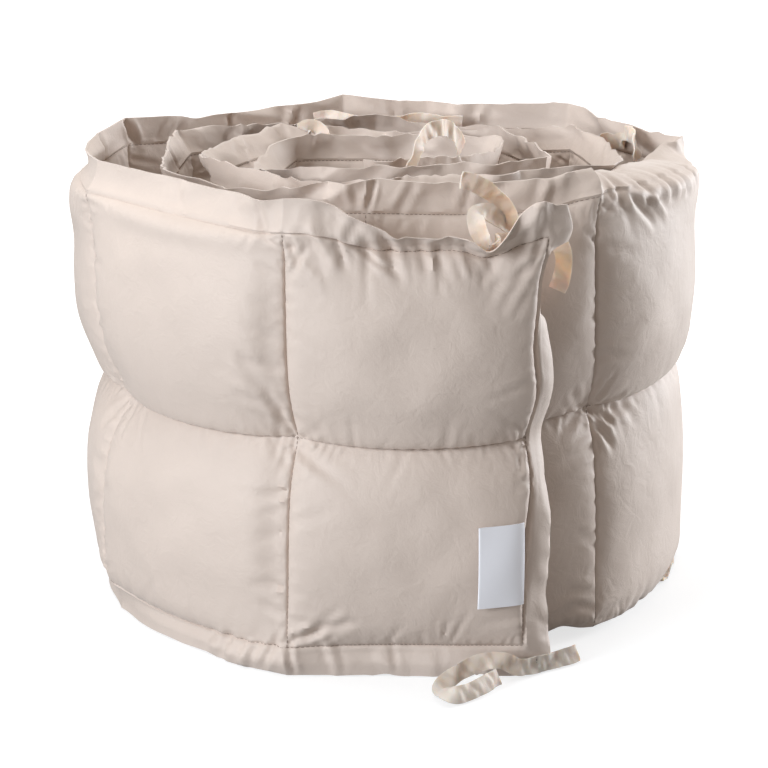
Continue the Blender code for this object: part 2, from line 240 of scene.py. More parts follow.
def upper_hem(along):
    """Sag of the upper stitching and lean of the upper edge along the strip."""
    pocket = pocket_of(along, -1, POCKETS)
    share = bow(along - pocket)
    sag, lean, _ = HEMS[pocket + 1].T
    bearing, _, _, corner_lean = between_seams(along).T
    sag = sag * share
    lean = corner_lean * (1 - share) + lean * share
    lean = lean + SIDE_LEAN * np.cos(bearing) ** 2 * inner_turns(along)
    for place, reach, fold_sag, fold_lean in UPPER_FOLDS:
        share = hill(along, place, reach)
        sag = sag + fold_sag * MM * share
        lean = lean + fold_lean * MM * share
    return sag, lean


def hem_shift(along, height):
    """How far places move out and up because of the hems' leaning and sagging."""
    sag, lean = upper_hem(along)
    bearing, _, lift, _ = between_seams(along).T
    turn_lift = -TURN_LIFT * np.sin(bearing) * inner_turns(along)
    up = (lift + turn_lift - sag)[:, None] * np.maximum(0, (height - WAIST) / WAIST)[None, :]
    above = np.maximum(0, (height - UPPER_STITCH) / HEM)[None, :]
    angle = np.arcsin(np.clip(lean / HEM, -LEAN_LIMIT, LEAN_LIMIT))[:, None] * above ** LEAN_CURVE
    out = HEM * above * np.sin(angle)
    up = up - HEM * above * (1 - np.cos(angle))
    pocket = pocket_of(along, -1, POCKETS)
    below = np.maximum(0, (LOWER_STITCH - np.maximum(height, FOOT)) / (LOWER_STITCH - FOOT))
    out = out + (HEMS[pocket + 1][:, 2] * bow(along - pocket))[:, None] * below[None, :]
    past_end = np.maximum(0, np.maximum(-along, along - POCKETS)) / END_HEM
    return out - END_CURL * past_end[:, None] ** 2, up


def wound(along, height, side, relief=0.0):
    """Places of the strip in the roll, a grid of them: side is 1 outside and -1 inside."""
    point, _, outward = path_frame(along)
    outer, inner = faces_off(along, height)
    off = outer if side > 0 else inner
    out, up = hem_shift(along, height)
    grid = point[:, None, :] + outward[:, None, :] * (off + out + relief)[:, :, None]
    grid[:, :, 2] += height[None, :] + up
    return grid


# ---- the cloth's folds, gathers and creases

# Lengths here are millimetres in the flat strip: across is along * POCKET.
# A fold is a rounded trough between two low ridges, in shares of its width and depth.
FOLD_REACH = 3
FOLD_ROUNDNESS = 1.6
RIDGE, RIDGE_PLACE, RIDGE_WIDTH = 0.45, 1.7, 0.8
GATHER_FADE = 0.8


def within(places, start, end, reach):
    """The slice of rising places that lie less than the reach outside a stretch."""
    first = np.searchsorted(places, min(start, end) - reach, "right")
    return slice(first, np.searchsorted(places, max(start, end) + reach))


def stroke(relief, across, up, start, end, width, depth, gather=True):
    """Adds one soft fold along a line: a trough where its depth is below 0. A gather fades from its
    start, and a crease fades to both ends."""
    reach = FOLD_REACH * width
    columns, lines = within(across, start[0], end[0], reach), within(up, start[1], end[1], reach)
    if columns.start == columns.stop or lines.start == lines.stop:
        return
    x, y = across[columns, None] - start[0], up[None, lines] - start[1]
    run, rise = end[0] - start[0], end[1] - start[1]
    length = math.hypot(run, rise)
    share = (x * run + y * rise) / length ** 2
    aside = np.abs(x * rise - y * run) / length / width
    past = np.maximum(0, np.maximum(-share, share - 1)) * length / width
    share = np.clip(share, 0, 1)
    fade = (1 - share) ** GATHER_FADE if gather else np.sqrt(bow(share))
    profile = np.exp(-aside ** FOLD_ROUNDNESS) - RIDGE * hill(aside, RIDGE_PLACE, RIDGE_WIDTH)
    relief[columns, lines] += depth * fade * profile * np.exp(-past ** 2)


# Each row: edge of the pocket, spacing, shortest, longest, depth and slant.
GATHERS = (
    ("left", 7, 5, 21, 1.55, 0.32),
    ("right", 7, 5, 21, 1.55, 0.32),
    ("foot", 6.5, 5, 17, 1, 0.4),
    ("head", 6, 5, 19, 1.05, 0.4),
)
FIRST_GATHER = (0.3, 0.9)
LAST_GATHER = 2
GATHER_SPACING = (0.45, 1.6)
GATHER_WIDTH = (1.1, 2.1)
GATHER_DEPTH = (0.35, 1.15)
# How many of them are big, and how much longer, wider and deeper those are.
BIG_SHARE, BIG_LENGTH, BIG_WIDTH, BIG_DEPTH = 0.24, 2.1, 1.7, 1.25


def gathers(relief, across, up, pocket, row, side):
    """The small folds that a pocket's stitching draws into its cloth, all round it."""
    left, right = pocket * POCKET / MM, (pocket + 1) * POCKET / MM
    foot, head = ROWS[row][0] / MM, ROWS[row][1] / MM
    edges = {"left": left, "right": right, "foot": foot, "head": head}
    for index, (edge, spacing, shortest, longest, depth, slant) in enumerate(GATHERS):
        rng = np.random.default_rng([pocket, index, int(row == "upper"), int(side > 0)])
        upright = edge in ("left", "right")
        into = 1 if edge in ("left", "foot") else -1
        place, last = (foot, head) if upright else (left, right)
        place += rng.uniform(*FIRST_GATHER) * spacing
        while place < last - LAST_GATHER:
            big = rng.random() < BIG_SHARE
            length = rng.uniform(shortest, longest) * (BIG_LENGTH if big else 1)
            width = rng.uniform(*GATHER_WIDTH) * (BIG_WIDTH if big else 1)
            deep = depth * rng.uniform(*GATHER_DEPTH) * (BIG_DEPTH if big else 1)
            drift = length * rng.normal(0, slant)
            start, end = (edges[edge], place), (edges[edge] + into * length, place + drift)
            if not upright:
                start, end = start[::-1], end[::-1]
            stroke(relief, across, up, start, end, width, -deep)
            place += spacing * rng.uniform(*GATHER_SPACING)


STAR_SEED = 50
STAR_RAYS = 9
STAR_TURN = (0.2, 0.8)
STAR_LENGTH = (12, 30)
STAR_WIDTH = (1.6, 2.8)
STAR_DEPTH = (0.8, 1.8)


def stars(relief, across, up, seam, side):
    """Short folds that run out of a crossing of two seams."""
    rng = np.random.default_rng([seam, STAR_SEED, int(side > 0)])
    x, y = seam * POCKET / MM, WAIST / MM
    for ray in range(STAR_RAYS):
        angle = 2 * math.pi * (ray + rng.uniform(*STAR_TURN)) / STAR_RAYS
        length = rng.uniform(*STAR_LENGTH)
        end = (x + length * math.cos(angle), y + length * math.sin(angle))
        stroke(relief, across, up, (x, y), end, rng.uniform(*STAR_WIDTH), -rng.uniform(*STAR_DEPTH))


# Each fold in the next two tables: its start along the strip and up it, its end, its width and its depth.
# The first table's folds lie in the pockets' outer face alone, and the second's run over the stitching, so
# there both faces move the same way.
CREASES = (
    (1, 150, 1.09, 186, 3, -2.2), (1.09, 186, 1.17, 208, 4, -1.6), (1, 170, 1.2, 180, 3.4, -1.5),
    (1, 196, 1.17, 202, 3, -1.4), (1, 214, 1.15, 224, 3, -1.4), (1, 232, 1.13, 240, 2.6, -1.3),
    (1, 252, 1.11, 262, 2.4, -1.2), (1, 118, 1.16, 110, 3, -1.3), (1, 92, 1.13, 88, 2.8, -1.2),
    (1, 62, 1.15, 56, 3, -1.3), (1, 40, 1.11, 46, 2.6, -1.2), (0.98, 252, 0.9, 272, 2.2, -1.5),
    (0.93, 262, 0.83, 249, 2.6, 1.3), (0.02, 275, 0.15, 243, 3.6, -0.8),
    (0.01, 262, 0.1, 236, 2.8, -0.6), (0.295, 279, 0.285, 262, 1.8, -1),
    (0.385, 279, 0.375, 254, 2, -1.3), (0.215, 278, 0.21, 261, 1.7, -1.1),
    (0.53, 279, 0.54, 260, 2.2, -0.9), (0.88, 148, 0.93, 141, 1.6, -1.2),
    (0.76, 148, 0.8, 142, 1.6, -1.1), (0.935, 26, 0.78, 48, 3, -1.6),
    (0.9, 22, 0.71, 40, 2.6, -1.1), (0.6, 21, 0.53, 36, 2.2, -1.1), (0.35, 21, 0.33, 40, 2.2, -1.2),
    (1.03, 22, 0.74, 40, 2.8, -3), (2, 150, 1.86, 176, 3, -1.8), (2, 150, 2.1, 122, 3, -1.8),
    (2, 152, 2.16, 164, 2.6, -1.4), (7, 150, 6.8, 158, 2.8, -2.2), (7, 149, 6.86, 138, 3, -3.2),
    (7, 148, 6.9, 124, 3.2, -2.6), (6.98, 147, 6.76, 143, 3, -2.2), (7, 151, 6.9, 172, 2.4, -1.6),
    (6.98, 196, 6.8, 204, 2.4, -1.2), (7, 224, 6.86, 228, 2, -1), (7.02, 150, 7.12, 168, 2.6, -1.6),
    (7.02, 150, 7.14, 140, 2.6, -1.5),
)

THROUGH_FOLDS = (
    (1, 283, 0.93, 257, 2.6, -2), (0.9, 290, 0.79, 260, 4.2, 2.6), (0.8, 286, 0.76, 262, 2.4, -1.8),
    (0.74, 281, 0.54, 267, 1.8, -1.8), (0.7, 300, 0.77, 281, 2.8, -2.2),
    (0.61, 298, 0.55, 264, 3.2, -2.4), (0.13, 298, 0.2, 266, 3, -2.2), (0.03, 300, 0.08, 268, 3, 2),
    (0.48, 300, 0.43, 268, 3.2, -2.4), (0.56, 299, 0.52, 270, 3.4, 2),
    (0.67, 299, 0.61, 266, 3.6, 2.4), (0.39, 299, 0.35, 262, 3.2, -2.2),
    (0.31, 299, 0.27, 266, 3.2, 2), (6.86, 300, 6.9, 270, 3, -3.4), (6.74, 300, 6.76, 268, 3, -3.2),
    (6.6, 300, 6.6, 266, 3.4, -3.4), (6.47, 300, 6.46, 266, 3, -3), (6.3, 300, 6.3, 268, 3, -3),
    (6.88, 281, 6.72, 256, 2.6, -2.6), (6.8, 281, 6.64, 258, 2.4, 2.2),
    (1.55, 300, 1.5, 278, 4, -1.6), (2.74, 300, 2.72, 279, 2.8, 3),
    (2.98, 300, 3.04, 280, 2.6, 3.4), (3.22, 300, 3.16, 280, 3, -2.6),
    (3.47, 300, 3.5, 280, 2.8, 3.2), (3.78, 300, 3.74, 281, 3, -3), (4.2, 300, 4.24, 280, 3, 3.4),
    (4.62, 300, 4.6, 281, 3.2, -2.8), (8.62, 300, 8.7, 279, 3.2, 3.6),
    (9.2, 300, 9.14, 280, 3.4, -3.6), (9.66, 300, 9.74, 281, 3, 3.4),
    (10.3, 300, 10.22, 280, 3.4, -3.8), (10.8, 300, 10.86, 280, 3.2, 3.8),
    (14.5, 300, 14.42, 280, 3.4, -3.8), (15.1, 300, 15.18, 280, 3.4, 3.8),
    (15.7, 300, 15.62, 281, 3.4, -3.8), (1.12, 300, 1.06, 276, 3, -2), (7.97, 300, 8, 280, 2, -3),
    (8.08, 300, 8.06, 281, 2.6, 2.4), (7.8, 300, 7.88, 280, 3, -2.4),
    (7.55, 300, 7.6, 281, 3, -1.8), (7.2, 300, 7.26, 281, 3.4, 2), (1.1, 2, 1.03, 30, 2.6, -2.2),
    (0.97, 1, 1, 28, 2.2, -1.8), (0.8, 0, 0.86, 30, 3, 1.6), (0.55, 0, 0.58, 24, 2.4, -1.2),
    (1.4, 0, 1.34, 26, 3, -1.3), (1.3, 0, 1.25, 26, 3.2, -3), (1.19, 0, 1.15, 24, 3, 2.6),
)


def creased(relief, across, up, table):
    """Adds the folds of a table."""
    for start, foot, end, head, width, depth in table:
        start, end = (start * POCKET / MM, foot), (end * POCKET / MM, head)
        stroke(relief, across, up, start, end, width, depth, gather=False)


WAVE_SEED = 7
WAVES = 16
WAVE_LENGTHS = (24, 75)
WAVE_HEIGHT = 0.9
WAVE_EASE = 30


def undulation(across, up, side):
    """The slow unevenness of the filling, about 0 and up to about 1 each way."""
    rng = np.random.default_rng([WAVE_SEED, int(side > 0)])
    total = np.zeros((len(across), len(up)))
    for length in np.geomspace(*WAVE_LENGTHS, WAVES):
        heading = rng.uniform(0, math.pi)
        turns = (across[:, None] * math.cos(heading) + up[None, :] * math.sin(heading)) / length
        total += (length / WAVE_LENGTHS[1]) * np.sin(2 * math.pi * (turns + rng.random()))
    return total / math.sqrt(WAVES)


EDGE_EASE = 1.6


def eased(distance):
    """0 at a seam, rising to 1 a short way from it."""
    return 1 - hill(distance, 0, EDGE_EASE)


def pocket_relief(along, height, side):
    """How far the folds move a face in or out, away from the strip's middle, in millimetres."""
    across, up = along * POCKET / MM, height / MM
    relief = np.zeros((len(along), len(height)))
    first, last = max(0, math.floor(along[0])), min(POCKETS, math.ceil(along[-1]))
    for pocket in range(first, last):
        for row in ROWS:
            gathers(relief, across, up, pocket, row, side)
    for seam in range(first, last + 1):
        stars(relief, across, up, seam, side)
    if side > 0:
        creased(relief, across, up, CREASES)
    p = (along - pocket_of(along))[:, None]
    from_seam = np.clip(np.minimum(p, 1 - p), 0, 1) * POCKET / MM
    from_hem = np.minimum(up - LOWER_STITCH / MM, UPPER_STITCH / MM - up)
    from_line = np.maximum(0, np.minimum(from_hem, np.abs(up - WAIST / MM)))[None, :]
    crown = np.sqrt(bow(p)) * np.clip(from_line / WAVE_EASE, 0, 1)
    relief += WAVE_HEIGHT * crown * undulation(across, up, side)
    return relief * eased(from_seam) * eased(from_line)


# ---- hems

# Each row: first place along the strip, and in millimetres the facets' spacing, their height half way to the
# edge and their height at it.
HEM_FACETS = (
    (-1, 9, 1, 2),
    (0, 9, 3.4, 5),
    (0.75, 18, 1.2, 2.4),
    (1.6, 26, 0.5, 1.2),
    (2.5, 26, 1.4, 3.4),
    (3.4, 20, 2, 4.6),
    (6.4, 18, 1.6, 3.6),
    (8, 14, 4.4, 7.5),
)
FACET_SEEDS = {"broad": 11, "fine": 13, "drop": 17, "start": 23, "end": 29, "foot": 41, "rise": 43}
FACET_SPACING = (0.5, 1.6)
FACET_SKEW = 0.35


def facets(along, share, kind, fine=1.0):
    """Flat three-cornered facets, as in crumpled stiff cloth: share is 0 at the stitching, 1 at the edge.
    fine below 1 makes them closer together and shallower."""
    rng = np.random.default_rng(FACET_SEEDS[kind])
    places, spread = [], []
    place = -1.0
    while place < POCKETS + 1:
        _, spacing, middle, edge = [row for row in HEM_FACETS if row[0] <= place][-1]
        places.append(place)
        spread.append((middle * fine ** 2, edge * fine ** 2))
        place += spacing * fine * MM / POCKET * rng.uniform(*FACET_SPACING)
    places, spread = np.array(places), np.array(spread)
    gap = np.gradient(places)
    knots = [places + gap * rng.uniform(-FACET_SKEW, FACET_SKEW, len(places)) for _ in range(3)]
    values = [np.zeros(len(places))] + [wide * rng.uniform(-1, 1, len(places)) for wide in spread.T]
    band, v = (0, share * 2) if share < 0.5 else (1, share * 2 - 1)
    low, high = values[band], values[band + 1]
    index = np.interp(along, (1 - v) * knots[band] + v * knots[band + 1], np.arange(len(places)))
    i = np.clip(np.floor(index).astype(int), 0, len(places) - 2)
    t = index - i
    first = low[i] + t * (low[i + 1] - low[i]) + v * (high[i] - low[i])
    second = high[i + 1] + (1 - t) * (high[i] - high[i + 1]) + (1 - v) * (low[i + 1] - high[i + 1])
    return np.where(t + v <= 1, first, second)


FINE_FACETS = 0.42
BEND_EASE = 0.85
HEM_DROP = 0.4
FOOT_FACETS = 0.45
FOOT_RISE = 0.30
END_FACETS = 0.4
END_FACET_RATE = 8
HEM_HALF = 0.0007
HEM_THIN_REACH = 0.004
WELT = 0.0010
WELT_PLACE = 0.0022
WELT_WIDTH = 0.0016
STITCH_SINK = 0.0005
STITCH_WIDTH = 0.0010
WELT_FROM = -0.003


def from_stitching(along, height):
    """How far places lie into the flat hems from the stitching round the pockets, in metres."""
    out = np.maximum(height - UPPER_STITCH, LOWER_STITCH - height)[None, :]
    past = (np.maximum(-along, along - POCKETS) * POCKET)[:, None]
    return np.maximum(out, past)


def hem_relief(along, height):
    """Half the hem's thickness beyond or short of the plain cloth's: a welt beside the stitching."""
    into = from_stitching(along, height)
    welt = WELT * hill(into, WELT_PLACE, WELT_WIDTH)
    thin = (HEM_HALF - CLOTH / 2) * np.clip(into / HEM_THIN_REACH, 0, 1)
    groove = -STITCH_SINK * hill(into, 0, STITCH_WIDTH)
    return np.where(into > WELT_FROM, welt + thin + groove, 0)


def hem_lines(height):
    """Each line of points in the hems: its number, its share of the way to the edge, and True above."""
    for j, level in enumerate(height):
        if level > UPPER_STITCH:
            yield j, min((level - UPPER_STITCH) / HEM, 1), True
        elif level < LOWER_STITCH:
            yield j, (LOWER_STITCH - level) / HEM, False


def hem_drop(along, height):
    """How far the hems are drawn up or down towards the pockets where they are folded, in metres."""
    drop = np.zeros((len(along), len(height)))
    for j, share, upper in hem_lines(height):
        depth, kind = (-HEM_DROP, "drop") if upper else (FOOT_RISE, "rise")
        drop[:, j] = depth * np.abs(facets(along, share, kind)) * MM
    return drop


def hem_facets(along, height):
    """How far the hems' facets move them out of the roll, in metres."""
    shift = np.zeros((len(along), len(height)))
    bend = np.cos(between_seams(along)[:, 0]) ** 2 * inner_turns(along)
    for j, share, upper in hem_lines(height):
        if upper:
            broad, fine = facets(along, share, "broad"), facets(along, share, "fine", FINE_FACETS)
            shift[:, j] = (broad * (1 - BEND_EASE * bend) + fine * (1 - bend)) * MM
        else:
            shift[:, j] = FOOT_FACETS * facets(along, share, "foot") * MM
    for i, place in enumerate(along):
        share = min(max(-place, place - POCKETS) / END_HEM, 1)
        if share > 0:
            own = END_FACETS * facets(height * END_FACET_RATE, share, "start" if place < 0 else "end") * MM
            shift[i] = shift[i] * (1 - share) + own
    return shift


# Heights in millimetres, each with the angle there in degrees.
END_TURNS = (
    (0, -8), (26, 0), (50, 10), (74, 0), (103, 2), (123, 17), (144, 16), (165, 13), (183, 12),
    (203, 14), (225, 25), (238, 62), (262, 75), (268, 48), (275, -3), (284, -16), (300, -16),
)
TURN_EASE = 0.3 * HEM


def turn_end_hem(grid, along, height):
    """Turns the free end's hem about its stitching, back into the roll, by an angle for each height."""
    angle = np.radians(np.interp(height / MM, *np.transpose(END_TURNS)))
    start = np.array([0.0])
    point, forward, outward = (v[0] for v in path_frame(start))
    seam_off = np.mean(faces_off(start, height), axis=0)
    past = along < 0
    beyond = (-along[past] * POCKET)[:, None]
    bend = angle[None, :] * np.clip(beyond / TURN_EASE, 0, 1)
    back, inward = beyond * np.cos(bend), beyond * np.sin(bend)
    flat = point[None, :] - forward[None, :] * beyond
    off = ((grid[past] - flat[:, None, :]) * outward).sum(axis=2) - seam_off
    place = point - forward * (back + off * np.sin(bend))[:, :, None]
    place = place + outward * (seam_off - inward + off * np.cos(bend))[:, :, None]
    place[:, :, 2] = grid[past][:, :, 2]
    grid[past] = place
    return grid


# Each nudge: its place along the strip, height in millimetres, reach along and up, and the way that the
# cloth moves: ahead, out and up, in millimetres.
NUDGES = (
    (0, 282, 0.16, 26, -13, 0, 0), (0, 238, 0.12, 22, -4, 0, 0), (0, 130, 0.14, 34, -6, 0, 0),
    (0, 182, 0.14, 22, -4, 0, 0), (0.84, 286, 0.17, 6.5, 0, 6, -5), (-0.1, 296, 0.12, 22, 0, -3, 0),
    (0, 190, 0.3, 48, -4.5, 0, 0), (1.05, 215, 0.06, 55, 0, -4, 0), (1.05, 85, 0.06, 50, 0, -4, 0),
    (1.02, 10, 0.1, 11, 0, 6, 0), (0.3, 12, 0.14, 9, 0, 2.5, 0), (7, 4, 0.12, 16, 0, -7, 3),
    (2, 4, 0.22, 16, -3, -8, 0), (6.75, 285, 0.55, 60, 0, 0, 9), (2.45, 272, 0.45, 20, 0, 12, 0),
    (1.5, 273, 0.36, 7, 0, 4, 0), (6.25, 273, 0.45, 20, 0, 9, 0), (6.02, 300, 0.25, 12, 0, 5, 0),
    (6.2, 152, 0.45, 30, 0, 9, 9), (6.35, 34, 0.5, 17, 0, 4.5, 0), (6.75, 16, 0.4, 20, 0, 5, 0),
    (7, 150, 0.1, 28, -7, 0, 0), (7, 245, 0.14, 60, 6, 0, 0), (1.5, 28, 0.5, 14, 0, 3, -6.5),
    (1.2, 8, 0.14, 14, 0, 8, 0), (6.6, 273, 0.22, 7, 0, 4, 0), (7.02, 292, 0.05, 14, -4, 5, 0),
    (-0.1, 285, 0.07, 20, -3, 0, 0), (0.01, 300, 0.05, 12, 0, 0, 6), (2, 150, 0.12, 45, -9, 0, 0),
    (0, 205, 0.015, 34, 0, -4, 0), (0, 85, 0.015, 48, 0, -4, 0),
)


def nudged(grid, along, height):
    """Moves short stretches of the cloth along the strip, out of the roll and up."""
    _, forward, outward = path_frame(along)
    for place, level, reach, reach_up, ahead, out, up in NUDGES:
        share = hill(along, place, reach)[:, None] * hill(height / MM, level, reach_up)[None, :]
        way = forward * ahead + outward * out
        grid = grid + share[:, :, None] * MM * way[:, None, :]
        grid[:, :, 2] += share * up * MM
    return grid


def through_folds(along, height):
    """Folds that run over the stitching, so both faces move the same way, in metres out of the roll."""
    moved = np.zeros((len(along), len(height)))
    creased(moved, along * POCKET / MM, height / MM, THROUGH_FOLDS)
    return moved * MM


UNDER_FROM, UNDER_TO, UNDER_EASE = 5.75, 7.95, 0.30
UNDER_ANGLE = math.radians(78.0)
UNDER_LIFT = 0.0010
UNDER_INWARD = 0.001
UNDER_REACH = 0.070
# Where a little of the folded hem shows: place along the strip, reach, and share of the fold taken back.
UNDER_SHOWS = (
    (7.13, 0.06, 0.16),
    (6.68, 0.03, 0.12),
)


def folded_under(grid, along, height):
    """Folds the lower hem in under the pockets where the roll sags over it, and lowers the pockets on it."""
    share = ramp(np.minimum(along - UNDER_FROM, UNDER_TO - along) / UNDER_EASE)
    for place, reach, shown in UNDER_SHOWS:
        share = share * (1 - shown * hill(along, place, reach))
    share = share[:, None]
    angle = UNDER_ANGLE * share
    seat = HEM * np.cos(angle) + UNDER_LIFT * share
    below = np.maximum(0, LOWER_STITCH - height)[None, :]
    above = np.clip((height - LOWER_STITCH) / UNDER_REACH, 0, 1)[None, :]
    drop = (HEM - seat) * (1 - ramp(above))
    inward = UNDER_INWARD * share * (1 - above) ** 3 + below * np.sin(angle)
    grid = grid - path_frame(along)[2][:, None, :] * inward[:, :, None]
    grid[:, :, 2] += below * (1 - np.cos(angle)) - drop
    return grid


# Where the filled cloth bulges over the upper stitching, which doesn't show there.
BULGED = ((0.66, 2.9), (6.02, 6.97))
BULGE = 0.0042
BULGE_REACH = 0.0075
BULGE_EASE = 0.12


def bulge(along, height):
    """How far the cloth stands out over the upper stitching, in metres."""
    share = sum(ramp(np.minimum(along - start, end - along) / BULGE_EASE) for start, end in BULGED)
    return BULGE * share[:, None] * hill(height, UPPER_STITCH, BULGE_REACH)[None, :]


OVERHANG = 0.0048
OVERHANG_ABOVE = 0.006
OVERHANG_REACH = 0.008
OVERHANG_EASE = 0.002
OVERHANG_FULLNESS = 0.4


def overhang(along, height):
    """How far the upper pockets' fronts sag over the seam at the waist, in metres."""
    across = bow(along - pocket_of(along)) ** OVERHANG_FULLNESS
    ease = np.clip((height - WAIST) / OVERHANG_EASE, 0, 1)
    upwards = hill(height, WAIST + OVERHANG_ABOVE, OVERHANG_REACH) * ease
    return OVERHANG * across[:, None] * upwards[None, :]


def cloth_face(along, height, side):
    """A face of the cover with all its folds."""
    relief = pocket_relief(along, height, side) * MM + hem_relief(along, height)
    shift = hem_facets(along, height) + through_folds(along, height)
    if side > 0:
        relief += bulge(along, height)
    grid = wound(along, height, side, side * relief + shift)
    grid[:, :, 2] += hem_drop(along, height)
    if side > 0:
        grid[:, :, 2] -= overhang(along, height)
    if along[0] < 0:
        grid = turn_end_hem(grid, along, height)
    return folded_under(nudged(grid, along, height), along, height)


# ---- meshes

# Faces that meet at more than this angle keep a sharp edge, as the tapes' and the label's rims do.
CRISP = math.radians(55)


def mesh_object(name, points, quads, finish):
    """A smooth-shaded object from its points and faces."""
    mesh = bpy.data.meshes.new(name)
    mesh.from_pydata([tuple(p) for p in points], [], [tuple(q) for q in quads])
    mesh.materials.append(finish)
    obj = bpy.data.objects.new(name, mesh)
    bpy.context.scene.collection.objects.link(obj)
    mesh.shade_smooth()
    mesh.set_sharp_from_angle(angle=CRISP)
    return obj


def grid_quads(columns, lines, start=0, flip=False):
    """The faces of a grid of points stored column by column."""
    i, j = np.meshgrid(np.arange(columns - 1), np.arange(lines - 1), indexing="ij")
    a = start + i * lines + j
    quads = np.stack((a, a + 1, a + lines + 1, a + lines), axis=-1).reshape(-1, 4)
    return quads[:, ::-1] if flip else quads


def closed_sheet(name, outer, inner, finish, flat):
    """A closed piece from its two faces, two grids of the same size, joined round their rims. flat holds
    the places of their points in the flat cloth."""
    columns, lines = outer.shape[:2]
    count = columns * lines
    index = np.arange(count).reshape(columns, lines)
    ring = np.concatenate((index[:, 0], index[-1, 1:], index[-2::-1, -1], index[0, -2:0:-1]))
    ahead = np.roll(ring, -1)
    rim = np.stack((ring, ahead, ahead + count, ring + count), axis=1)
    quads = np.concatenate((grid_quads(columns, lines), grid_quads(columns, lines, count, True), rim))
    points = np.concatenate((outer.reshape(-1, 3), inner.reshape(-1, 3)))
    obj = mesh_object(name, points, quads, finish)
    layer = obj.data.uv_layers.new(name="cloth")
    corners = np.zeros(len(obj.data.loops), int)
    obj.data.loops.foreach_get("vertex_index", corners)
    uv = np.tile(flat.reshape(-1, 2), (2, 1))[corners]
    layer.data.foreach_set("uv", uv.astype(np.float32).ravel())
    return obj


CROWD = 0.5


def spaced(start, end, count):
    """Places from start to end, crowded towards both ends."""
    x = np.linspace(0, 1, count + 1)
    return start + (end - start) * (x - CROWD * np.sin(2 * math.pi * x) / (2 * math.pi))


# Each row: name, first and last seam, lines of points in a pocket, and whether the foot has fewer.
COVERS = (
    ("cover_front", 0, 3, 92, False),
    ("cover_back", 3, 6, 68, False),
    ("cover_right", 6, 8, 84, False),
    ("cover_turn_2", 8, 13, 60, True),
    ("cover_turn_3", 13, 18, 60, True),
    ("cover_core", 18, 22, 56, True),
)
HEM_LINES = 10
ROW_LINES = 54


def heights_of(coarse_foot):
    """The heights at which a cover has a line of points."""
    lower_hem = np.linspace(0, LOWER_STITCH, HEM_LINES + 1)
    lower = spaced(LOWER_STITCH, WAIST, ROW_LINES)
    if coarse_foot:
        lower_hem, lower = lower_hem[::2], lower[::3]
    upper = spaced(WAIST, UPPER_STITCH, ROW_LINES)
    edge = np.linspace(UPPER_STITCH, HEIGHT, HEM_LINES + 1)
    return np.concatenate((lower_hem[:-1], lower[:-1], upper[:-1], edge))


def alongs_of(first, last, per_pocket):
    """The places along the strip at which a cover has a line of points."""
    places = []
    if first == 0:
        places.append(np.linspace(-END_HEM, 0, HEM_LINES + 1)[:-1])
    for pocket in range(first, last):
        places.append(spaced(pocket, pocket + 1, per_pocket)[:-1])
    places.append([last])
    if last == POCKETS:
        places.append(np.linspace(POCKETS, POCKETS + END_HEM, HEM_LINES + 1)[1:])
    return np.concatenate(places)


def covers(finish):
    """The quilted strip, in lengths that meet at seams."""
    for name, first, last, per_pocket, coarse_foot in COVERS:
        along, height = alongs_of(first, last, per_pocket), heights_of(coarse_foot)
        flat = np.stack(np.meshgrid(along * POCKET, height, indexing="ij"), axis=-1)
        outer, inner = cloth_face(along, height, 1), cloth_face(along, height, -1)
        obj = closed_sheet(name, outer, inner, finish, flat)
        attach(obj, "root")
        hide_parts("quilted_roll")


# ---- cotton tapes

# As in the CAD model: each is one length of tape stitched to the hem at its middle, with two free tails.
# Each row of TIES: name, place along the strip, height in millimetres, the face that it is sewn to, how far
# it stands off in millimetres, and its tails. A tail starts at the stitching and passes through the points
# of its table: millimetres along the strip, out of the roll and up, and the turn of the tape about its own
# length in degrees, where it has one.
TAPE_WIDTH = 0.0108
TAPE_THICK = 0.0009
TAPE_SEAT = 0.0025
TAPE_STEP = 0.0016
TAPE_LINES = 9
TAPE_STAND = 0.0009
TAPE_CUP = 0.0006
CUP_LENGTH = 0.035
CUP_PHASE = 6
TAPE_CRUMPLE = 0.0005
CRUMPLE_LENGTH = 0.017
CRUMPLE_LENGTHS = (0.006, 0.010, 0.017, 0.031)
CRUMPLE_SKEW = 0.35
TAPE_SELVEDGE = 0.00018
SELVEDGE_REACH = 0.16
RIM_SHARE = 0.6
TAPE_TIP = 0.007
TIP_FOLD = 0.7
WIDTH_SWING, WIDTH_LENGTH = 0.03, 0.004
TIE_SEED = 100
FLOOR_CLEAR = 0.0003
TACKS = 4
TACK_PITCH = 0.0022
TACK_LENGTH = 0.0017
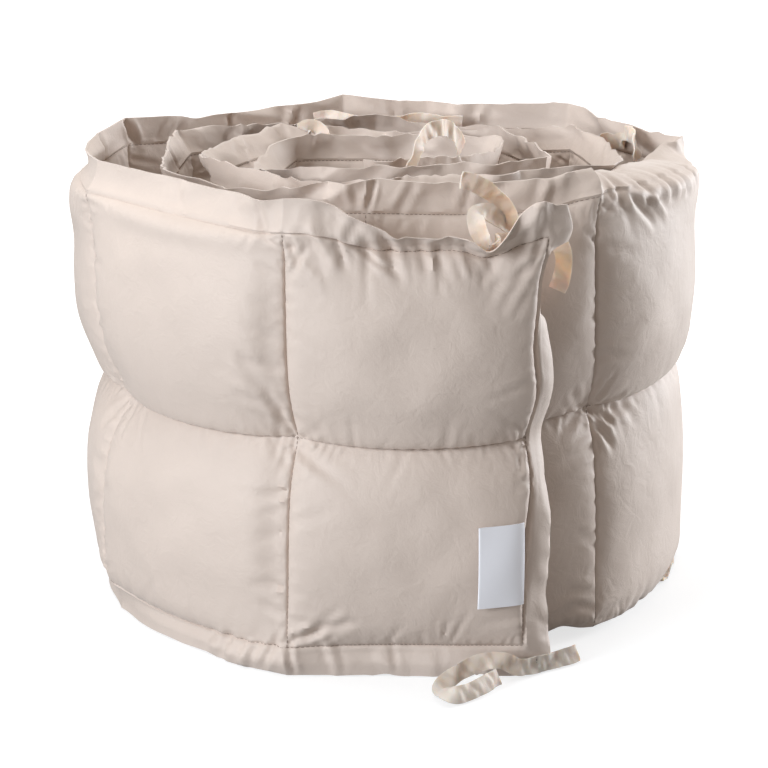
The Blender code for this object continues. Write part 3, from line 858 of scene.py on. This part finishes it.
TIES = (
    ("tie_top_0", 0.16, 284, -1, 2.2, (
        ((3, -3, 5, 60), (6, -4, 11, 65), (6, -7, 19, 75), (-3, -11, 19, 100), (-15, -15, 13, 115),
         (-22, -18, 8, 90), (-24, -19, 13, 60), (-19, -18, 20, 65), (-11, -15, 27, 70), (-2, -12, 33, 80),
         (9, -9, 38, 85), (17, -7, 40, 90)),
        ((-9, -5, 1, -26), (-24, -7, 1, -20), (-40, -13, 2, -16), (-56, -16, 0), (-63, -14, -7, 13),
         (-65, -13, -17, 20), (-62, -12, -28, 20), (-59, -12, -34, 20)),
    )),
    ("tie_top_1", 5.5, 288, -1, 0, (
        ((11, -4, 7), (24, -6, 9), (37, -8, 9, 20), (57, -11, 5, 40), (66, -13, -1, 40),
         (65, -14, -8, 20)),
        ((-7, -4, -1), (-13, -8, 0, -20), (-14, -11, -6, -30), (-8, -13, -12, -20)),
    )),
    ("tie_top_2", 11.0, 289, 1, 0, (
        ((9, 3, 1), (20, 6, 2), (34, 8, 3), (48, 8, 2), (60, 10, 1)),
        ((-9, 3, 1), (-20, 7, 3, 20), (-30, 12, 5, 40), (-40, 14, 3, 40)),
    )),
    ("tie_top_3", 16.1, 287, 1, 1.3, (
        ((8, 3, 4), (18, 5, 4, 10), (26, 4, 1, 20), (33, 0, -4, 20), (36, -4, -10, 10)),
        ((-2, 3, 5), (-3, 3, 10), (2, 1, 11, 20), (7, -3, 8, 20), (8, -6, 3)),
    )),
    ("tie_top_4", 21.9, 286, 1, 0.3, (
        ((4, 4, 6), (2, 5, 15), (-2, 2, 24), (-11, -8, 30), (-26, -16, 30),
         (-40, -21, 27), (-54, -24, 20), (-66, -25, 10)),
        ((-9, 4, 2), (-20, 8, 4, 20), (-32, 12, 3, 40), (-42, 14, 2, 40)),
    )),
    ("tie_bottom_0", -0.07, 6, 1, 0, (
        ((16, 7, 2), (28, 8, 8, -4), (40, 9, 9, 2), (53, 11, 6, 5), (65, 17, 2, 10), (72, 29, 0, 60),
         (66, 40, 0, 110), (55, 35, 0, 130), (43, 23, 0, 132), (32, 13, 0, 132)),
        ((-10, -1, 0, -15), (-19, -3, 0, -16), (-27, -5, 0, -18), (-33, -7, 0, -19)),
    )),
    ("tie_bottom_1", 5.5, 10, 1, 0, (
        ((9, 4, -1), (20, 9, -2, 10), (32, 14, -4, 40), (46, 15, -7, 80), (70, 13, -8, 90),
         (95, 8, -8, 90), (120, 4, -8, 90), (136, 2, -8, 90)),
        ((-9, 4, -1), (-22, 12, -3, -30), (-33, 23, -6, -70), (-44, 32, -8, -90), (-58, 36, -8, -90),
         (-72, 34, -8, -90)),
    )),
    ("tie_bottom_2", 11.0, 10, 1, 0, (
        ((9, 3, 0), (20, 7, -2), (32, 10, -2), (46, 12, -2)),
        ((-9, 3, 0), (-20, 7, -2), (-32, 10, -2), (-46, 12, -2)),
    )),
    ("tie_bottom_3", 16.1, 10, 1, 0, (
        ((9, 3, 0), (20, 7, -2), (32, 11, -2), (44, 14, -2)),
        ((-9, 3, 0), (-20, 7, -2), (-32, 11, -2), (-44, 14, -2)),
    )),
    ("tie_bottom_4", 21.9, 10, 1, 0, (
        ((9, 5, 0), (20, 9, -2), (34, 9, -2), (46, 0, -2), (52, -14, -2)),
        ((-9, 4, 0), (-20, 8, -2), (-32, 12, -2), (-42, 14, -2)),
    )),
)


def surface_frame(along, height, side):
    """A place on a face of the cover, with the ways along the strip, up the strip and off that face."""
    step_along, step_up = 0.02, 0.002
    steps = np.array([-1, 0, 1])
    grid = cloth_face(along + step_along * steps, height + step_up * steps, side)
    forward = unit(grid[2, 1] - grid[0, 1])
    rise = grid[1, 2] - grid[1, 0]
    rise = unit(rise - forward * rise.dot(forward))
    return grid[1, 1], forward, rise, np.cross(rise, forward) * side


def smooth_line(points, spacing):
    """A smooth curve through the points, as places about one spacing apart."""
    points = [np.array(p, float) for p in points]
    ends = [2 * points[0] - points[1]] + points + [2 * points[-1] - points[-2]]
    line = []
    for a, b, c, d in zip(ends, ends[1:], ends[2:], ends[3:]):
        pieces = max(1, round(np.linalg.norm((c - b)[:3]) / spacing))
        for i in range(pieces):
            t = i / pieces
            line.append(0.5 * (2 * b + (c - a) * t + (2 * a - 5 * b + 4 * c - d) * t ** 2
                               + (3 * b - a - 3 * c + d) * t ** 3))
    return np.array(line + [points[-1]])


def turned(vector, axis, angle):
    """A vector turned about a unit axis by an angle in radians."""
    return (vector * math.cos(angle) + np.cross(axis, vector) * math.sin(angle)
            + axis * axis.dot(vector) * (1 - math.cos(angle)))


def tail_frames(line, across):
    """The places of a tail, its widthwise directions and its lengthwise ones."""
    places, turns = line[:, :3], np.radians(line[:, 3])
    widths, aheads = [], []
    for i, turn in enumerate(turns):
        ahead = unit(places[min(i + 1, len(places) - 1)] - places[max(i - 1, 0)])
        across = unit(across - ahead * across.dot(ahead))
        widths.append(turned(across, ahead, turn))
        aheads.append(ahead)
    return places, np.array(widths), np.array(aheads)


def lengths_along(line):
    """How far each point of a line is from its first, along it."""
    return np.concatenate(([0.0], np.cumsum(np.linalg.norm(np.diff(line, axis=0), axis=1))))


def beside_turn(seat, along, ahead, out, up, turn=0):
    """A tail's point: so far along the turn that the tie is sewn to, and so far out and up from the seat."""
    point, _, outward = (v[0] for v in path_frame(np.array([along])))
    off = outward.dot(seat - point)
    point, _, outward = (v[0] for v in path_frame(np.array([along + ahead * MM / POCKET])))
    x, y, _ = point + outward * (off + out * MM)
    return x, y, seat[2] + up * MM, turn


def tape_section(index, far):
    """A tape's places across, its crumples and half its thickness, at each distance from its first tip."""
    rng = np.random.default_rng([TIE_SEED, index])
    cross = np.linspace(-1, 1, TAPE_LINES)[None, :]
    lift = np.zeros((len(far), TAPE_LINES))
    for length in CRUMPLE_LENGTHS:
        wave = far[:, None] / length + rng.uniform(-CRUMPLE_SKEW, CRUMPLE_SKEW) * cross + rng.random()
        lift += TAPE_CRUMPLE * length / CRUMPLE_LENGTH * np.sin(2 * math.pi * wave)
    cup = TAPE_CUP * rng.choice((-1, 1)) * (1 - cross ** 2)
    lift += cup * np.sin(far / CUP_LENGTH + rng.uniform(0, CUP_PHASE))[:, None]
    half = TAPE_THICK / 2 + TAPE_SELVEDGE * hill(np.abs(cross), 1, SELVEDGE_REACH)
    near_tip = np.minimum(far, far[-1] - far)[:, None] < TAPE_TIP
    half = half * (1 + TIP_FOLD * near_tip) * np.where(np.abs(cross) == 1, RIM_SHARE, 1)
    wide = TAPE_WIDTH / 2 * (1 + WIDTH_SWING * np.sin(far / WIDTH_LENGTH))[:, None] * cross
    return wide, lift, half


def tie(index, name, along, height, side, stand, tails, finish):
    """One tape with its two tails, a thin crumpled sheet with stitched edges and tips. Returns its tacks."""
    seat, forward, rise, off = surface_frame(along, height * MM, side)
    seat = seat + off * (TAPE_STAND + stand * MM)
    halves = []
    for way, tail in zip((1, -1), tails):
        points = [(*(seat + forward * way * TAPE_SEAT * i), 0) for i in (0, 1)]
        points += [beside_turn(seat, along, *place) for place in tail]
        places, widths, aheads = tail_frames(smooth_line(points, TAPE_STEP), rise)
        halves.append((places, widths, aheads * way))
    places, widths, aheads = (np.concatenate((back[:0:-1], front)) for front, back in zip(*halves))
    normals = np.cross(aheads, widths)[:, None, :]
    far = lengths_along(places)
    wide, lift, half = tape_section(index, far)
    middle = places[:, None, :] + widths[:, None, :] * wide[:, :, None] + normals * lift[:, :, None]
    outer = middle + normals * half[:, :, None]
    inner = middle - normals * half[:, :, None]
    for face in (outer, inner):
        face[:, :, 2] = np.maximum(face[:, :, 2], FLOOR_CLEAR)
    flat = np.stack(np.broadcast_arrays(far[:, None], wide), axis=-1)
    obj = closed_sheet(name + "_tape", inner, outer, finish, flat)
    obj.data.validate()
    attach(obj, "root")
    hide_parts(name)
    tacks = []
    for beside in (-TACK_PITCH, TACK_PITCH):
        for step in range(TACKS):
            low = seat + forward * beside + rise * (step - TACKS / 2) * TACK_PITCH
            tacks.append((low, low + rise * TACK_LENGTH, off))
    return tacks


# ---- label

LABEL_WIDTH = 0.0335
LABEL_HEIGHT = 0.053
LABEL_FOOT = 0.049
LABEL_SEAT = 0.0018
LABEL_PLY = 0.00035
LABEL_COLUMNS = 26
LABEL_LINES = 34
LABEL_STAND = 0.0026
LABEL_BEND = 0.0007
LABEL_GAP = 0.25
LABEL_TWIST = 0.25
LABEL_WAVE = 0.0005
LABEL_WAVES = (3, 2)
LABEL_TURN_LINES = 9


def label(finish):
    """The bare label: a strip of woven tape folded double, caught by its two ends in the first seam."""
    share = np.linspace(0, 1, LABEL_COLUMNS)
    place = (LABEL_SEAT + (LABEL_WIDTH - LABEL_SEAT) * share) / POCKET
    height = LABEL_FOOT + LABEL_HEIGHT * np.linspace(0, 1, LABEL_LINES)
    smooth = wound(place, height, 1)
    _, forward, outward = path_frame(place)
    outward = outward[:, None, :]
    clear = np.maximum(0, ((cloth_face(place, height, 1) - smooth) * outward).sum(axis=2).max())
    rise = np.linspace(-1, 1, LABEL_LINES)[None, :]
    twist = 1 - LABEL_TWIST + LABEL_TWIST * rise
    stand = clear + LABEL_BEND + LABEL_STAND * share[:, None] ** 2 * twist
    stand += LABEL_WAVE * np.sin(LABEL_WAVES[0] * share[:, None] + LABEL_WAVES[1] * rise)
    back = smooth + outward * stand[:, :, None]
    front = back + outward * (LABEL_BEND * (LABEL_GAP + np.sqrt(share)))[:, None, None]
    middle, half = (back[-1] + front[-1]) / 2, (front[-1] - back[-1]) / 2
    reach = np.linalg.norm(half, axis=1)[:, None]
    turn = []
    for angle in np.linspace(0, math.pi, LABEL_TURN_LINES)[1:-1]:
        turn.append(middle - half * math.cos(angle) + forward[-1] * reach * math.sin(angle))
    line = np.concatenate((back, np.array(turn), front[::-1]))
    normal = unit(np.cross(np.gradient(line, axis=0), np.gradient(line, axis=1)))
    far = lengths_along(line[:, 0])
    flat = np.stack(np.meshgrid(far, height, indexing="ij"), axis=-1)
    outer, inner = line - normal * LABEL_PLY / 2, line + normal * LABEL_PLY / 2
    obj = closed_sheet("side_label", outer, inner, finish, flat)
    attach(obj, "root")
    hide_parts("label")


# ---- stitches

STITCH_PITCH = 0.0030
STITCH_SHARE = 0.72
STITCH_RADIUS = 0.00030
STITCH_STAND = 0.00012
STITCH_SIDES = 4
# Each row: place along the stitch, and in radii its thickness there and how far it stands out.
STITCH_RINGS = ((0, 0.55, -0.6), (0.25, 1, 0), (0.75, 1, 0), (1, 0.55, -0.6))


def stitch_ends(start, end, pitch):
    """Where each stitch from start to end begins and ends."""
    count = round((end - start) / pitch)
    number = np.arange(2 * count)
    return start + (end - start) * (number // 2 + STITCH_SHARE * (number % 2)) / count


def stitch_run(start, end, sewn_height, side):
    """Stitches along the strip at one height: the start, end and way out of each."""
    places = stitch_ends(start, end, STITCH_PITCH / POCKET)
    line = cloth_face(places, np.array([sewn_height]), side)[:, 0]
    outward = path_frame(places)[2] * side
    return list(zip(line[::2], line[1::2], outward[::2]))


def stitch_column(seam):
    """Stitches up a seam, on the outer face."""
    along = np.array([seam])
    line = cloth_face(along, stitch_ends(LOWER_STITCH, UPPER_STITCH, STITCH_PITCH), 1)[0]
    outward = path_frame(along)[2][0]
    return [(low, high, outward) for low, high in zip(line[::2], line[1::2])]


def stitches(name, sewn, finish):
    """Thread over the cloth, one small rounded piece for each stitch, all in one mesh."""
    points, quads = [], []
    sides = range(STITCH_SIDES)
    for low, high, outward in sewn:
        ahead = unit(high - low)
        out = unit(outward - ahead * outward.dot(ahead))
        aside = np.cross(ahead, out)
        first = len(points)
        for share, size, stand in STITCH_RINGS:
            middle = low + (high - low) * share + out * (STITCH_STAND + stand * STITCH_RADIUS)
            for k in sides:
                angle = 2 * math.pi * (k + 0.5) / STITCH_SIDES
                way = aside * math.cos(angle) + out * math.sin(angle)
                points.append(middle + way * size * STITCH_RADIUS)
        last = len(points) - STITCH_SIDES
        for a in range(first, last, STITCH_SIDES):
            for k in sides:
                b = (k + 1) % STITCH_SIDES
                quads.append((a + k, a + b, a + STITCH_SIDES + b, a + STITCH_SIDES + k))
        quads.append(tuple(first + k for k in sides)[::-1])
        quads.append(tuple(last + k for k in sides))
    obj = mesh_object(name, points, quads, finish)
    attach(obj, "root")


def seam_stitches():
    """All the stitching that shows, outside and inside. At the foot it ends where the hem is folded in."""
    outside = []
    for seam in range(FINE_POCKETS + 1):
        outside += stitch_column(seam)
    outside += stitch_run(0, UNDER_FROM, LOWER_STITCH, 1)
    outside += stitch_run(0, FINE_POCKETS, WAIST, 1)
    shown = [0] + [place for stretch in BULGED for place in stretch] + [FINE_POCKETS]
    for start, end in zip(shown[::2], shown[1::2]):
        outside += stitch_run(start, end, UPPER_STITCH, 1)
    inside = stitch_run(FINE_POCKETS, POCKETS, UPPER_STITCH, 1)
    return outside, inside + stitch_run(0, POCKETS, UPPER_STITCH, -1)


# ---- materials

def new_material(name, colour, roughness, **values):
    """A Principled material and its node tree. values name more of the shader's sockets."""
    new = bpy.data.materials.new(name)
    new.use_nodes = True
    shader = new.node_tree.nodes["Principled BSDF"]
    shader.inputs["Base Color"].default_value = (*colour, 1.0)
    shader.inputs["Roughness"].default_value = roughness
    for socket, value in values.items():
        shader.inputs[socket.replace("_", " ")].default_value = value
    return new, new.node_tree, shader


def node(tree, kind, *sources, **values):
    """A new shader node of a tree. The sources are joined to its first sockets in order. A value goes to
    the socket of its name, where there is one, and is a setting otherwise."""
    new = tree.nodes.new("ShaderNode" + kind)
    for source, socket in zip(sources, new.inputs):
        tree.links.new(source, socket)
    for name, value in values.items():
        socket = name.replace("_", " ")
        if socket not in new.inputs:
            setattr(new, name, value)
        elif isinstance(value, bpy.types.NodeSocket):
            tree.links.new(value, new.inputs[socket])
        else:
            new.inputs[socket].default_value = value
    return new


# Settings of the cotton's shader, its noises and their bumps, by socket.
COTTON_ROUGHNESS = 0.62
SHEEN = {"Sheen_Weight": 0.25, "Sheen_Roughness": 0.45, "Sheen_Tint": (1.0, 0.96, 0.92, 1.0)}
SEE_THROUGH = {"Subsurface_Weight": 0.5, "Subsurface_Radius": (1.0, 0.62, 0.4), "Subsurface_Scale": 0.004}
WEAVE_PITCH = 0.00042
WEAVE = {"Scale": math.pi / 10 / WEAVE_PITCH, "Distortion": 0.6, "Detail": 1}
SLUBS = {"Scale": 260, "Detail": 3, "Roughness": 0.6}
CRUMPLES = {"Scale": 85, "Detail": 5, "Roughness": 0.55, "Distortion": 0.8}
CLOUDS = {"Scale": 9, "Detail": 4, "Roughness": 0.6}
WEAVE_BUMP = {"Strength": 0.35, "Distance": 0.0001}
SLUB_BUMP = {"Strength": 0.5, "Distance": 0.0002}
CRUMPLE_BUMP = {"Strength": 0.55, "Distance": 0.001}
# Where the colour is darkest and palest in the noise, and its share of the plain colour there.
SHADES = ((0.35, 0.955), (0.68, 1.03))


def cotton(name, colour, **values):
    """Fine plain-woven cotton with a slight sheen: weave, slubs, tiny creases and uneven colour."""
    new, tree, shader = new_material(name, colour, COTTON_ROUGHNESS, **SHEEN, **values)
    uv = node(tree, "UVMap", uv_map="cloth").outputs["UV"]
    place = node(tree, "TexCoord").outputs["Object"]
    threads = []
    for direction in ("X", "Y"):
        wave = node(tree, "TexWave", bands_direction=direction, wave_type="BANDS", Vector=uv, **WEAVE)
        threads.append(wave.outputs["Fac"])
    weave = node(tree, "Math", *threads, operation="MULTIPLY")
    slub = node(tree, "TexNoise", Vector=uv, **SLUBS)
    crumple = node(tree, "TexNoise", Vector=place, **CRUMPLES)
    before = {}
    for source, size in ((weave, WEAVE_BUMP), (slub, SLUB_BUMP), (crumple, CRUMPLE_BUMP)):
        bump = node(tree, "Bump", Height=source.outputs[0], **size, **before)
        before = {"Normal": bump.outputs["Normal"]}
    tree.links.new(bump.outputs["Normal"], shader.inputs["Normal"])
    cloud = node(tree, "TexNoise", Vector=place, **CLOUDS)
    colours = node(tree, "ValToRGB", cloud.outputs["Fac"])
    for stop, (position, share) in zip(colours.color_ramp.elements, SHADES):
        stop.position = position
        stop.color = (*(min(1, c * share) for c in colour), 1)
    tree.links.new(colours.outputs["Color"], shader.inputs["Base Color"])
    return new


# ---- light, floor and camera

CAMERA_DISTANCE = 2.0
CAMERA_ELEVATION = math.radians(15.0)
CAMERA_ABOUT = Vector((0.0001, 0.0138, 0.150))
CAMERA_AIM = Vector((0.0001, 0.0138, 0.138))
CAMERA_LENS = 138.75
SENSOR = 36.0


def aimed(obj, place, target):
    """Puts an object at a place, facing a target."""
    obj.location = place
    obj.rotation_euler = (Vector(target) - Vector(place)).to_track_quat("-Z", "Y").to_euler()


def camera():
    """The camera, where the photograph was taken from."""
    data = bpy.data.cameras.new("camera")
    data.lens, data.sensor_width = CAMERA_LENS, SENSOR
    obj = bpy.data.objects.new("camera", data)
    bpy.context.scene.collection.objects.link(obj)
    back = Vector((0.0, -math.cos(CAMERA_ELEVATION), math.sin(CAMERA_ELEVATION)))
    aimed(obj, CAMERA_ABOUT + back * CAMERA_DISTANCE, CAMERA_AIM)
    bpy.context.scene.camera = obj


# Each row: name, place, the place that it faces, size, watts and colour.
LIGHTS = (
    ("key", (-1.75, -1.62, 0.95), (0.0, 0.0, 0.15), 1.1, 57.0, (0.93, 1.0, 1.08)),
    ("right", (1.78, 0.95, 0.50), (0.1, 0.0, 0.15), 0.7, 47.0, (0.95, 1.0, 1.06)),
    ("top", (-0.4, 0.3, 2.2), (0.0, 0.0, 0.2), 1.2, 25.0, (0.98, 1.0, 1.02)),
)


def lights():
    """The lamps, which are squares of light."""
    for name, place, target, size, watts, colour in LIGHTS:
        data = bpy.data.lights.new(name, "AREA")
        data.energy, data.size, data.color = watts, size, colour
        obj = bpy.data.objects.new(name, data)
        bpy.context.scene.collection.objects.link(obj)
        aimed(obj, place, target)


FLOOR_SIZE = 40.0
FLOOR_DROP = 0.0004
FLOOR_GREY = 0.33
FLOOR_ROUGHNESS = 0.9
GLOW_NEAR, GLOW_FAR = 0.72, 1.0
GLOW_FROM, GLOW_TO = 0.22, 0.62
AMBIENT = 0.32
AMBIENT_TINT = (1.0, 0.91, 0.83, 1.0)


def stage():
    """A pale floor that looks white further out, and a surround that is white to the camera alone."""
    bpy.ops.mesh.primitive_plane_add(size=FLOOR_SIZE, location=(0, 0, -FLOOR_DROP))
    floor = bpy.context.object
    floor.name = "floor"
    pale, tree, shader = new_material("pale floor", (FLOOR_GREY, FLOOR_GREY, FLOOR_GREY), FLOOR_ROUGHNESS)
    place = node(tree, "TexCoord").outputs["Object"]
    far = node(tree, "VectorMath", place, operation="LENGTH").outputs["Value"]
    glow = node(tree, "MapRange", far, interpolation_type="SMOOTHSTEP", From_Min=GLOW_FROM,
                From_Max=GLOW_TO, To_Min=GLOW_NEAR, To_Max=GLOW_FAR)
    seen = node(tree, "LightPath").outputs["Is Camera Ray"]
    strength = node(tree, "Math", seen, glow.outputs[0], operation="MULTIPLY")
    light = node(tree, "Emission", Strength=strength.outputs[0])
    both = node(tree, "AddShader", shader.outputs[0], light.outputs[0])
    tree.links.new(both.outputs[0], tree.nodes["Material Output"].inputs["Surface"])
    floor.data.materials.append(pale)
    world = bpy.data.worlds.new("surround")
    world.use_nodes = True
    tree = world.node_tree
    ambient = tree.nodes["Background"]
    ambient.inputs["Color"].default_value = AMBIENT_TINT
    ambient.inputs["Strength"].default_value = AMBIENT
    white = node(tree, "Background", Color=(1, 1, 1, 1))
    seen = node(tree, "LightPath").outputs["Is Camera Ray"]
    mixed = node(tree, "MixShader", seen, ambient.outputs[0], white.outputs[0])
    tree.links.new(mixed.outputs[0], tree.nodes["World Output"].inputs["Surface"])
    bpy.context.scene.world = world
    bpy.context.scene.view_settings.view_transform = "Standard"
    bpy.context.scene.view_settings.look = "None"


# ---- all of it

COVER_COLOUR = (0.625, 0.522, 0.452)
TAPE_COLOUR = (0.72, 0.61, 0.53)
THREAD_COLOUR = (0.30, 0.23, 0.19)
LABEL_COLOUR = (0.88, 0.88, 0.92)
PLAIN_ROUGHNESS = 0.7

camera()
lights()
stage()
covers(cotton("cotton cover", COVER_COLOUR))
outer_sewing, inner_sewing = seam_stitches()
tape_cotton = cotton("cotton tape", TAPE_COLOUR, **SEE_THROUGH)
for number, tie_row in enumerate(TIES):
    inner_sewing += tie(number, *tie_row, tape_cotton)
thread = new_material("taupe thread", THREAD_COLOUR, PLAIN_ROUGHNESS)[0]
stitches("stitches_outer", outer_sewing, thread)
stitches("stitches_inner", inner_sewing, thread)
label(new_material("white woven tape", LABEL_COLOUR, PLAIN_ROUGHNESS)[0])
